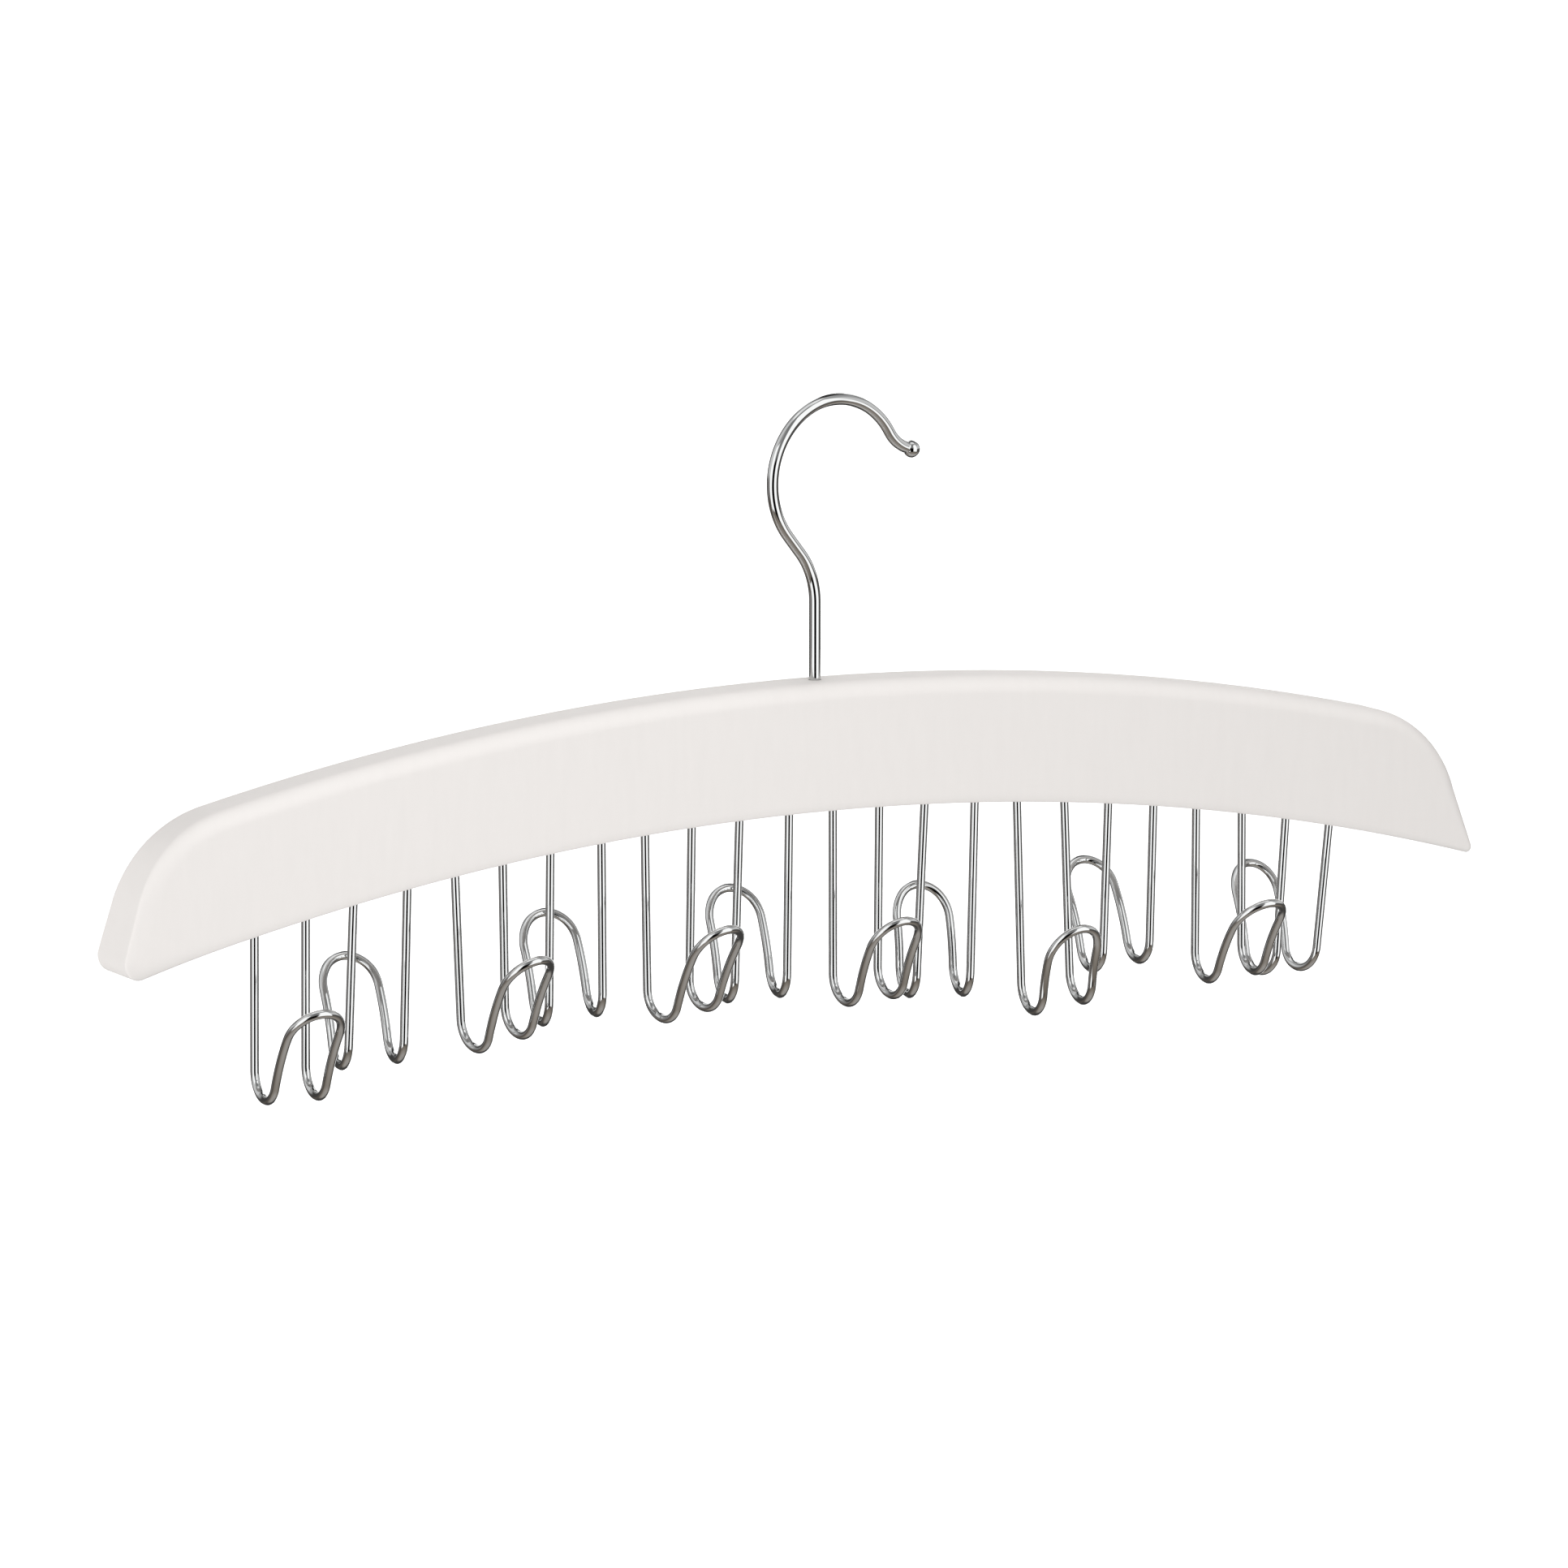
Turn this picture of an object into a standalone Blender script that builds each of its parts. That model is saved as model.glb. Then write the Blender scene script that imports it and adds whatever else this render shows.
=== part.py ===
"""Belt hanger: an arched wooden bar on a swivelling wire hook, with a row of wire belt hooks.

Units are metres and +Z is up. +X runs along the bar and the front of the bar faces -Y.
The origin is the rail seat: the point on the swivel axis, inside the crown of the top hook,
where the closet rail bears. The bar turns about the vertical line through the origin.
"""

import math
from typing import NamedTuple

import bmesh
import bpy
from mathutils import Matrix, Vector

# Wooden bar
BAR_LENGTH = 0.4382
BAR_HEIGHT = 0.0367              # at the middle, square to the arch
BAR_THICKNESS = 0.019
BAR_OFFSET = 0.00045             # the middle of the bar lies this far to the right of the stem
TOP_ARCH_RADIUS = 0.813
UNDERSIDE_ARCH_RADIUS = 0.789
SHOULDER_RADIUS = 0.0374         # turns the top edge down into the end
END_LEAN = math.radians(19.2)    # the ends lean in towards the top
LEFT_TIP_RADIUS = 0.0048         # lower tip seen from the front; the two were sanded unevenly
RIGHT_TIP_RADIUS = 0.0030
TOP_ROUNDING = 0.0055            # of the edges along the top arch
END_ROUNDING = 0.0045            # of the edges of the ends below the shoulder
RIGHT_TIP_ROUNDING = 0.0025      # of the edges at the right tip; at the left one it is END_ROUNDING
UNDERSIDE_ROUNDING = 0.0015      # of the edges along the underside
TIP_EASE = 0.060                 # the underside's edges come down to that over this length from a tip

# Swivelling top hook, bent from one wire
HOOK_WIRE = 0.0034
STEM_RISE = 0.0223               # straight above the bar
NECK_RADIUS = 0.0222
NECK_ANGLE = math.radians(40.3)
NECK_STRAIGHT = 0.0070
CROOK_RADIUS = 0.0229            # to the middle of the wire
CROOK_SWEEP = math.radians(188.3)
TIP_CURL_RADIUS = 0.0113
TIP_CURL_ANGLE = math.radians(39.2)
TIP_STRAIGHT = 0.0023
TIP_BALL = 0.0050
HOOK_TURN = math.radians(10.0)   # how far the hook is swivelled from the bar at rest

# Washer and nut that hold the shank, up in a recess in the underside
WASHER_DIAMETER = 0.0070
WASHER_THICKNESS = 0.0006
NUT_ACROSS_FLATS = 0.0055
NUT_HEIGHT = 0.0024
SHANK_BELOW_NUT = 0.0008
RECESS_ROOM = 0.0010             # round the washer, and below the end of the shank

# Belt hooks, each bent from one wire
BELT_WIRE = 0.0025
BELT_HOOK_WIDTH = 0.0155         # usual distance between the middles of the two legs
BELT_HOOK_DROP = 0.0520          # usual drop from the bar's underside to the lowest middle of wire
END_MARGIN = 0.0529              # from the end of the bar to the middle of the nearest belt hook
ROW_OFFSET = -0.0004             # the drilled row sits a little left of the stem
LEG_DEPTH = 0.0140               # how far each leg is let into the wood
FOOT_RADIUS = 0.00725            # bend at the bottom of the J
LIP_FLARE = math.radians(25.0)   # lean gained from the foot to the top of the lip
LIP_HEIGHT = 0.0270              # usual height from the lowest to the highest middle of the wire
LIP_ARCH = 0.0100                # length of the rounded end that joins the two sides

# Room left between pieces that touch
FIT_GAP = 0.0003

# How finely curves are divided
ARCH_STEPS = 40
SHOULDER_STEPS = 10
TIP_STEPS = 5
EDGE_STEPS = 4
BORE_SIDES = 16
LEG_HOLE_SIDES = 12
FOOT_STEPS = 8
LIP_STEPS = 3
LIP_ARCH_STEPS = 12
STEP_ANGLE = math.radians(6.0)


class Rim(NamedTuple):
    """A point of the bar's outline, the way out of the board there, and the rounding of its edges."""

    point: Vector
    outward: Vector
    rounding: float


class BeltHook(NamedTuple):
    """How one belt hook is set. They are bent, pushed in and trued by hand, so no two agree."""

    name: str
    opens_to: str
    along: float      # how far its holes lie to the right of their even place, in shares of the width
    wide: float       # distance between its legs, in shares of BELT_HOOK_WIDTH
    drop: float       # in shares of BELT_HOOK_DROP
    uneven: float     # how much lower the left leg reaches, in shares of the width
    sway: float       # how far the foot sits to the right of its holes, in shares of the width
    twist: float      # turn of the foot and lip about the upright, in degrees
    rise: float       # of the lip, in shares of LIP_HEIGHT
    lean: float       # of the lip where it leaves the bottom bend, in degrees


BELT_HOOKS = [
    BeltHook("belt_hook_front_1", "front", -0.01, 0.99, 0.938, -0.02, -0.04, 0, 1.02, 21),
    BeltHook("belt_hook_rear_1", "rear", 0.00, 1.05, 0.969, 0.03, -0.13, -6, 0.99, 18),
    BeltHook("belt_hook_front_2", "front", -0.01, 0.95, 0.960, 0.14, 0.07, 9, 1.00, 24),
    BeltHook("belt_hook_rear_2", "rear", -0.01, 1.03, 0.997, 0.10, -0.02, -8, 1.00, 15),
    BeltHook("belt_hook_front_3", "front", -0.08, 0.96, 1.023, 0.09, -0.01, 11, 1.03, 23),
    BeltHook("belt_hook_rear_3", "rear", -0.05, 1.03, 1.056, 0.03, -0.08, -8, 1.06, 12),
    BeltHook("belt_hook_front_4", "front", -0.08, 0.98, 1.077, 0.04, -0.01, 4, 0.96, 19),
    BeltHook("belt_hook_rear_4", "rear", -0.04, 1.07, 1.128, -0.04, -0.13, -10, 1.11, 1),
    BeltHook("belt_hook_front_5", "front", -0.03, 1.02, 1.168, 0.12, 0.15, -4, 0.94, 10),
    BeltHook("belt_hook_rear_5", "rear", 0.00, 1.00, 0.961, 0.09, -0.08, -3, 1.03, 20),
    BeltHook("belt_hook_front_6", "front", 0.01, 1.02, 0.942, 0.07, 0.02, -2, 0.93, 23),
    BeltHook("belt_hook_rear_6", "rear", 0.06, 1.00, 0.886, -0.04, -0.24, 9, 1.07, 17),
]


# Scene, collections and materials

def clear_scene():
    for obj in list(bpy.data.objects):
        bpy.data.objects.remove(obj, do_unlink=True)


def new_collection(name):
    collection = bpy.data.collections.new(name)
    bpy.context.scene.collection.children.link(collection)
    return collection


def material(name, color, roughness, metallic):
    mat = bpy.data.materials.new(name)
    mat.use_nodes = True
    shader = mat.node_tree.nodes["Principled BSDF"]
    shader.inputs["Base Color"].default_value = (*color, 1.0)
    shader.inputs["Roughness"].default_value = roughness
    shader.inputs["Metallic"].default_value = metallic
    return mat


def white_paint(name):
    return material(name, (0.80, 0.79, 0.77), 0.35, 0.0)


def chrome(name):
    return material(name, (0.72, 0.72, 0.73), 0.08, 1.0)


def zinc_plate(name):
    return material(name, (0.55, 0.55, 0.56), 0.35, 1.0)


# Making objects

def link(obj, collection, mat=None):
    collection.objects.link(obj)
    if mat:
        obj.data.materials.append(mat)
    return obj


def mesh_object(name, bm):
    mesh = bpy.data.meshes.new(name)
    bm.to_mesh(mesh)
    bm.free()
    return bpy.data.objects.new(name, mesh)


def mark_as_cutter(obj):
    obj.hide_render = True
    obj.display_type = "WIRE"


def cut_with(obj, cutter):
    cut = obj.modifiers.new("cut " + cutter.name, "BOOLEAN")
    cut.operation = "DIFFERENCE"
    cut.solver = "EXACT"
    cut.object = cutter


def smooth(obj, sharp_angle=math.radians(40.0)):
    obj.data.shade_smooth()
    obj.data.set_sharp_from_angle(angle=sharp_angle)


def curve_to_mesh(curve_object):
    """Replace a curve object by a mesh one with its caps welded on."""
    bpy.context.view_layer.update()
    evaluated = curve_object.evaluated_get(bpy.context.evaluated_depsgraph_get())
    mesh = bpy.data.meshes.new_from_object(evaluated)
    bm = bmesh.new()
    bm.from_mesh(mesh)
    bmesh.ops.remove_doubles(bm, verts=bm.verts, dist=0.00002)
    bmesh.ops.recalc_face_normals(bm, faces=bm.faces)
    bm.to_mesh(mesh)
    bm.free()
    obj = bpy.data.objects.new(curve_object.name, mesh)
    obj.matrix_world = curve_object.matrix_world
    collection = curve_object.users_collection[0]
    name = curve_object.name
    bpy.data.objects.remove(curve_object, do_unlink=True)
    collection.objects.link(obj)
    obj.name = name
    return obj


def bent_wire(name, points, diameter, sides_level, collection, mat, swell=None):
    """A round wire along the points, welded shut. swell gives each point's share of the diameter."""
    curve = bpy.data.curves.new(name, "CURVE")
    curve.dimensions = "3D"
    curve.twist_mode = "MINIMUM"
    curve.bevel_depth = diameter / 2
    curve.bevel_resolution = sides_level
    curve.use_fill_caps = True
    curve.render_resolution_u = 0
    spline = curve.splines.new("POLY")
    spline.points.add(len(points) - 1)
    for index, point in enumerate(points):
        spline.points[index].co = (*point, 1.0)
        if swell:
            spline.points[index].radius = swell[index]
    obj = curve_to_mesh(link(bpy.data.objects.new(name, curve), collection))
    obj.data.materials.append(mat)
    smooth(obj)
    return obj


# Wooden bar, drawn from the front with the top of its arch at z = 0 and the stem at x = 0

def underside_z(x):
    """Height of the bar's underside below the top of its arch."""
    sagitta = UNDERSIDE_ARCH_RADIUS - math.sqrt(UNDERSIDE_ARCH_RADIUS**2 - (x - BAR_OFFSET)**2)
    return -BAR_HEIGHT - sagitta


def arc_rim(centre, radius, start, end, steps, rounding_of, hollow=False):
    """The outline along an arc. rounding_of gives the rounding at a share of the way along it."""
    rim = []
    for i in range(steps + 1):
        angle = start + (end - start) * i / steps
        spoke = Vector((math.cos(angle), math.sin(angle)))
        rounding = min(rounding_of(i / steps), 0.45 * BAR_THICKNESS)
        rim.append(Rim(centre + radius * spoke, -spoke if hollow else spoke, rounding))
    return rim


def circle_on_line(start, along, centre, reach):
    """The furthest point from start, in direction along, that lies at reach from centre."""
    offset = start - centre
    half_b = offset.dot(along)
    root = math.sqrt(half_b**2 - offset.dot(offset) + reach**2)
    return start + along * (root - half_b)


def angle_of(vector):
    return math.atan2(vector.y, vector.x)


def right_half_rim(tip_radius, tip_rounding):
    """The right half of the outline, from the top of the arch to the middle of the underside."""
    top_centre = Vector((0.0, -TOP_ARCH_RADIUS))
    under_centre = Vector((0.0, -BAR_HEIGHT - UNDERSIDE_ARCH_RADIUS))
    tip_rounding = min(tip_rounding, 0.9 * tip_radius)
    outward = Vector((math.cos(END_LEAN), math.sin(END_LEAN)))
    up_the_end = Vector((-math.sin(END_LEAN), math.cos(END_LEAN)))
    tip_x = BAR_LENGTH / 2 - tip_radius
    tip_z = under_centre.y + math.sqrt((UNDERSIDE_ARCH_RADIUS + tip_radius)**2 - tip_x**2)
    tip_centre = Vector((tip_x, tip_z))
    shoulder_centre = circle_on_line(tip_centre + outward * (tip_radius - SHOULDER_RADIUS), up_the_end,
                                     top_centre, TOP_ARCH_RADIUS - SHOULDER_RADIUS)
    top_to_shoulder = angle_of(shoulder_centre - top_centre)
    end_angle = angle_of(outward)
    tip_to_under = angle_of(under_centre - tip_centre)
    under_start = angle_of(tip_centre - under_centre)

    def under_rounding(share):
        eased = max(0.0, 1.0 - share * BAR_LENGTH / 2 / TIP_EASE)**2
        return UNDERSIDE_ROUNDING + (tip_rounding - UNDERSIDE_ROUNDING) * eased

    rim = arc_rim(top_centre, TOP_ARCH_RADIUS, math.pi / 2, top_to_shoulder, ARCH_STEPS // 2,
                  lambda share: TOP_ROUNDING)
    rim += arc_rim(shoulder_centre, SHOULDER_RADIUS, top_to_shoulder, end_angle, SHOULDER_STEPS,
                   lambda share: TOP_ROUNDING + (END_ROUNDING - TOP_ROUNDING) * share)[1:]
    rim += arc_rim(tip_centre, tip_radius, end_angle, tip_to_under, TIP_STEPS, lambda share: tip_rounding)
    rim += arc_rim(under_centre, UNDERSIDE_ARCH_RADIUS, under_start, math.pi / 2, ARCH_STEPS // 2,
                   under_rounding, hollow=True)[1:]
    return rim


def bar_rim():
    """The whole outline, clockwise from the top of the arch."""
    right = right_half_rim(RIGHT_TIP_RADIUS, RIGHT_TIP_ROUNDING)
    left = [Rim(Vector((-r.point.x, r.point.y)), Vector((-r.outward.x, r.outward.y)), r.rounding)
            for r in right_half_rim(LEFT_TIP_RADIUS, END_ROUNDING)]
    shift = Vector((BAR_OFFSET, 0.0))
    return [Rim(r.point + shift, r.outward, r.rounding) for r in right + left[-2:0:-1]]


def make_bar(collection, mat):
    """A board sawn to the arch, its edges rounded over."""
    rim = bar_rim()
    turns = [math.pi / 2 * i / EDGE_STEPS for i in range(EDGE_STEPS + 1)]
    bm = bmesh.new()
    rings = []
    for side, turn in [(-1, t) for t in turns] + [(1, t) for t in reversed(turns)]:
        ring = []
        for point, outward, rounding in rim:
            place = point - outward * rounding * (1.0 - math.sin(turn))
            y = side * (BAR_THICKNESS / 2 - rounding * (1.0 - math.cos(turn)))
            ring.append(bm.verts.new((place.x, y, place.y)))
        rings.append(ring)
    for ring, following in zip(rings, rings[1:]):
        for i in range(len(rim)):
            bm.faces.new((ring[i - 1], ring[i], following[i], following[i - 1]))
    bm.faces.new(rings[0])
    bm.faces.new(rings[-1])
    bmesh.ops.recalc_face_normals(bm, faces=bm.faces)
    return link(mesh_object("hanger_bar", bm), collection, mat)


# Swivelling hook, drawn in its own upright plane as distance across and height over the bar

def walk(point, heading, length):
    return point + length * Vector((math.cos(heading), math.sin(heading)))


def bend(point, heading, radius, angle):
    """Points along a bend and the heading after it. A positive angle turns left."""
    side = math.copysign(1.0, angle)
    centre = point + side * radius * Vector((-math.sin(heading), math.cos(heading)))
    steps = max(3, math.ceil(abs(angle) / STEP_ANGLE))
    spoke = point - centre
    points = []
    for i in range(1, steps + 1):
        turn = angle * i / steps
        points.append(centre + Vector((spoke.x * math.cos(turn) - spoke.y * math.sin(turn),
                                       spoke.x * math.sin(turn) + spoke.y * math.cos(turn))))
    return points, heading + angle, centre


def shank_end():
    """How far the wire reaches below the middle of the bar's top edge."""
    return -BAR_HEIGHT + recess_depth() - 2 * FIT_GAP - WASHER_THICKNESS - NUT_HEIGHT - SHANK_BELOW_NUT


def recess_depth():
    return WASHER_THICKNESS + NUT_HEIGHT + SHANK_BELOW_NUT + 2 * FIT_GAP + RECESS_ROOM


def hook_path():
    """Middle of the wire from the lower end of the shank to the tip, and the crook's centre."""
    points = [Vector((0.0, shank_end())), Vector((0.0, 0.0)), Vector((0.0, STEM_RISE))]
    heading = math.pi / 2
    neck, heading, _ = bend(points[-1], heading, NECK_RADIUS, NECK_ANGLE)
    points += neck
    points.append(walk(points[-1], heading, NECK_STRAIGHT))
    crook, heading, crook_centre = bend(points[-1], heading, CROOK_RADIUS, -CROOK_SWEEP)
    points += crook
    curl, heading, _ = bend(points[-1], heading, TIP_CURL_RADIUS, TIP_CURL_ANGLE)
    points += curl
    return points, heading, crook_centre


def seat_height():
    """Height over the bar of the inside of the crook, on the swivel axis."""
    _, _, crook_centre = hook_path()
    inside = CROOK_RADIUS - HOOK_WIRE / 2
    return crook_centre.y + math.sqrt(inside**2 - crook_centre.x**2)


def make_swivel_hook(collection, mat):
    """One wire from the nut up to the crook, its tip upset into a ball."""
    path, heading, _ = hook_path()
    swell = [1.0] * len(path)
    ball_centre = walk(path[-1], heading, TIP_STRAIGHT)
    rings = 8
    neck_angle = math.asin(min(1.0, HOOK_WIRE / TIP_BALL))
    last_angle = math.radians(172.0)
    for i in range(rings + 1):
        angle = neck_angle + (last_angle - neck_angle) * i / rings
        path.append(walk(ball_centre, heading, -math.cos(angle) * TIP_BALL / 2))
        swell.append(math.sin(angle) * TIP_BALL / HOOK_WIRE)
    rail_seat = seat_height()
    turned = [Vector((p.x * math.cos(HOOK_TURN), p.x * math.sin(HOOK_TURN), p.y - rail_seat))
              for p in path]
    return bent_wire("swivel_hook", turned, HOOK_WIRE, 3, collection, mat, swell)


def drilled_disc(name, radius, thickness, bore_radius, sides, z_top, collection, cutters, mat):
    """A disc or, with six sides, a nut, with a hole for the shank."""
    bm = bmesh.new()
    bmesh.ops.create_cone(bm, cap_ends=True, segments=sides, radius1=radius, radius2=radius,
                          depth=thickness)
    obj = link(mesh_object(name, bm), collection, mat)
    obj.location = (0.0, 0.0, z_top - thickness / 2)
    drill = upright_cutter(name + "_drill", bore_radius, z_top - 2 * thickness, z_top + thickness,
                           BORE_SIDES, cutters)
    cut_with(obj, drill)
    return obj


def upright_cutter(name, clear_radius, z_low, z_high, sides, cutters):
    """An upright drill whose flats clear the given radius and face along the bar and across it."""
    bm = bmesh.new()
    half_side = math.pi / sides
    radius = clear_radius / math.cos(half_side)
    bmesh.ops.create_cone(bm, cap_ends=True, segments=sides, radius1=radius, radius2=radius,
                          depth=z_high - z_low, matrix=Matrix.Rotation(half_side, 4, "Z"))
    obj = link(mesh_object(name, bm), cutters)
    obj.location = (0.0, 0.0, (z_low + z_high) / 2)
    mark_as_cutter(obj)
    return obj


# Belt hooks, each drawn about a point on the bar's underside midway between its legs

def belt_hook_side(setting):
    """One side of a hook before truing, from the bottom of the leg to the top of the arch.

    Each point is its distance from the middle of the hook, out from the leg and over the lowest wire.
    """
    first_lean = math.radians(setting.lean)
    start_out = FOOT_RADIUS * (1.0 + math.cos(first_lean))
    start_up = FOOT_RADIUS * (1.0 - math.sin(first_lean))
    rise = setting.rise * LIP_HEIGHT - start_up
    lip_radius = rise / (math.sin(first_lean + LIP_FLARE) - math.sin(first_lean))
    lip_length = lip_radius * LIP_FLARE
    arch_length = min(LIP_ARCH, 0.9 * lip_length)
    straight_length = lip_length - arch_length
    half_width = setting.wide * BELT_HOOK_WIDTH / 2
    side = []
    for i in range(FOOT_STEPS + 1):
        angle = (math.pi - first_lean) * i / FOOT_STEPS
        side.append((half_width, FOOT_RADIUS * (1.0 - math.cos(angle)),
                     FOOT_RADIUS * (1.0 - math.sin(angle))))

    def lip_point(half, along):
        lean = first_lean + along / lip_radius
        return (half, start_out + lip_radius * (math.cos(first_lean) - math.cos(lean)),
                start_up + lip_radius * (math.sin(lean) - math.sin(first_lean)))

    for i in range(1, LIP_STEPS + 1):
        side.append(lip_point(half_width, straight_length * i / LIP_STEPS))
    for i in range(1, LIP_ARCH_STEPS // 2 + 1):
        angle = math.pi / 2 * i / (LIP_ARCH_STEPS // 2)
        along = straight_length + arch_length * math.sin(angle)
        side.append(lip_point(half_width * math.cos(angle), along))
    return side


def as_set(setting, x, out, up):
    """Where a point of a hook lands once it is trued, from the point between its holes."""
    drop = setting.drop * BELT_HOOK_DROP
    down = drop - up
    share = min(max(down / drop, 0.0), 1.0)
    turn = math.radians(setting.twist) * share
    y = -out if setting.opens_to == "front" else out
    return Vector((x * math.cos(turn) - y * math.sin(turn) + setting.sway * BELT_HOOK_WIDTH * share,
                   x * math.sin(turn) + y * math.cos(turn),
                   setting.uneven * x - down))


def make_belt_hook(setting, collection, mat):
    """One wire: down a leg, round the foot, over the lip and back down the other side."""
    half_width = setting.wide * BELT_HOOK_WIDTH / 2
    side = [(half_width, 0.0, setting.drop * BELT_HOOK_DROP)] + belt_hook_side(setting)
    left = [as_set(setting, -x, out, up) for x, out, up in side]
    right = [as_set(setting, x, out, up) for x, out, up in side[:-1]]
    top_left = Vector((-half_width, 0.0, LEG_DEPTH))
    top_right = Vector((half_width, 0.0, LEG_DEPTH))
    points = [top_left] + left + right[::-1] + [top_right]
    return bent_wire(setting.name, points, BELT_WIRE, 2, collection, mat)


def hook_x(index):
    """Where the middle of a belt hook stands along the bar."""
    last = len(BELT_HOOKS) - 1
    spacing = (BAR_LENGTH - 2 * END_MARGIN) / last
    return ROW_OFFSET + (index - last / 2) * spacing + BELT_HOOKS[index].along * BELT_HOOK_WIDTH


def leg_hole_cutter(cutters):
    """One upright drill for each leg, all in one cutter."""
    bm = bmesh.new()
    radius = (BELT_WIRE / 2 + FIT_GAP) / math.cos(math.pi / LEG_HOLE_SIDES)
    for index, setting in enumerate(BELT_HOOKS):
        for side in (-1.0, 1.0):
            x = hook_x(index) + side * setting.wide * BELT_HOOK_WIDTH / 2
            z_high = underside_z(hook_x(index)) + LEG_DEPTH + FIT_GAP
            z_low = underside_z(x) - 2 * BELT_WIRE
            drill = bmesh.ops.create_cone(bm, cap_ends=True, segments=LEG_HOLE_SIDES, radius1=radius,
                                          radius2=radius, depth=z_high - z_low)
            bmesh.ops.translate(bm, verts=drill["verts"], vec=(x, 0.0, (z_low + z_high) / 2))
    obj = link(mesh_object("leg_holes", bm), cutters)
    mark_as_cutter(obj)
    return obj


# Putting it together

def build():
    clear_scene()
    parts = new_collection("belt_hanger")
    cutters = new_collection("cutters")
    bar_top = -seat_height()

    hook = make_swivel_hook(parts, chrome("chrome plated hook wire"))

    bar = make_bar(parts, white_paint("white painted wood"))
    bar.location = (0.0, 0.0, bar_top)
    recess_ceiling = -BAR_HEIGHT + recess_depth()
    bore = upright_cutter("shank_bore", HOOK_WIRE / 2 + FIT_GAP, -2 * BAR_HEIGHT, BAR_HEIGHT, BORE_SIDES,
                          cutters)
    recess = upright_cutter("nut_recess", WASHER_DIAMETER / 2 + RECESS_ROOM / 2, -2 * BAR_HEIGHT,
                            recess_ceiling, 2 * BORE_SIDES, cutters)
    for cutter in (bore, recess, leg_hole_cutter(cutters)):
        cutter.parent = bar
        cut_with(bar, cutter)
    smooth(bar, math.radians(35.0))

    washer_top = bar_top + recess_ceiling - FIT_GAP
    nut_top = washer_top - WASHER_THICKNESS - FIT_GAP
    shank_clearance = HOOK_WIRE / 2 + FIT_GAP
    drilled_disc("hook_washer", WASHER_DIAMETER / 2, WASHER_THICKNESS, shank_clearance, 2 * BORE_SIDES,
                 washer_top, parts, cutters, zinc_plate("zinc plated washer")).parent = hook
    drilled_disc("hook_nut", NUT_ACROSS_FLATS / math.sqrt(3.0), NUT_HEIGHT, shank_clearance, 6, nut_top,
                 parts, cutters, zinc_plate("zinc plated nut")).parent = hook

    for index, setting in enumerate(BELT_HOOKS):
        belt_hook = make_belt_hook(setting, parts, chrome("chrome plated " + setting.name))
        belt_hook.parent = bar
        belt_hook.location = (hook_x(index), 0.0, underside_z(hook_x(index)))


build()
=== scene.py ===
"""Belt hanger: a white wooden bar under a chrome plated swivel hook, with twelve wire belt hooks."""

import math
from typing import NamedTuple
import bpy
from mathutils import Matrix, Vector


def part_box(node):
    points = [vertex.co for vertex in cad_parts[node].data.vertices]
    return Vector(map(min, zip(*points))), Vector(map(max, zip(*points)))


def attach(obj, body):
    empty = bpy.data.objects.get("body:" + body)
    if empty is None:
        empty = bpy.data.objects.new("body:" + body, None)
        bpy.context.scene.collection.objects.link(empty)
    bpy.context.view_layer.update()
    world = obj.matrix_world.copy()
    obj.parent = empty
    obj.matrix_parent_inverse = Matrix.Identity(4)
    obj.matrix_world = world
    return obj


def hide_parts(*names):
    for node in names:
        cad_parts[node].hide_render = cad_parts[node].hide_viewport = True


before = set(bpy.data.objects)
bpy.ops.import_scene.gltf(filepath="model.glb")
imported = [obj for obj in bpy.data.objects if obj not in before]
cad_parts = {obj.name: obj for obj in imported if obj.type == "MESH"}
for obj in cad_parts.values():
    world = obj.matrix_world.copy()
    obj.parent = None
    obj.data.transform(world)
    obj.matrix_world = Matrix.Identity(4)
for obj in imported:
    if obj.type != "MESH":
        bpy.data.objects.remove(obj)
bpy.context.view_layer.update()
BAR_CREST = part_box("hanger_bar")[1].z
bpy.ops.object.select_all(action="DESELECT")


# Camera
# The photo looks down a little on the front, from the left, almost two metres away through a long lens.
# It is aimed just left of the stem and below the top of the bar.

def from_horizon(azimuth, elevation):
    """The direction at that compass angle and height. 0, 0 is straight out of the bar's front."""
    return Vector((math.sin(azimuth) * math.cos(elevation), -math.cos(azimuth) * math.cos(elevation),
                   math.sin(elevation)))


CAMERA_AZIMUTH = math.radians(-28.0)
CAMERA_ELEVATION = math.radians(9.686)
CAMERA_DISTANCE = 1.8845
AIM_LEFT = 0.00878
AIM_DOWN = 0.02981
FOCAL_LENGTH = 151.8
SENSOR_WIDTH = 36.0
FARTHEST_SEEN = 60.0

towards_camera = from_horizon(CAMERA_AZIMUTH, CAMERA_ELEVATION)
camera_right = Vector((math.cos(CAMERA_AZIMUTH), math.sin(CAMERA_AZIMUTH), 0.0))
camera_up = towards_camera.cross(camera_right)
bar_crest = Vector((0.0, 0.0, BAR_CREST))
bpy.ops.object.camera_add(
    location=bar_crest + towards_camera * CAMERA_DISTANCE - camera_right * AIM_LEFT - camera_up * AIM_DOWN,
    rotation=Matrix((camera_right, camera_up, towards_camera)).transposed().to_euler())
camera = bpy.context.object
camera.data.lens = FOCAL_LENGTH
camera.data.sensor_width = SENSOR_WIDTH
camera.data.clip_end = FARTHEST_SEEN
bpy.context.scene.camera = camera


# Wooden bar
# One board of beech 19 mm thick, sawn to the arch, its edges rounded over on a router and by hand, then
# sprayed with white satin paint. It is drilled for the stem with its nut and for the belt hooks' legs.

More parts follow.
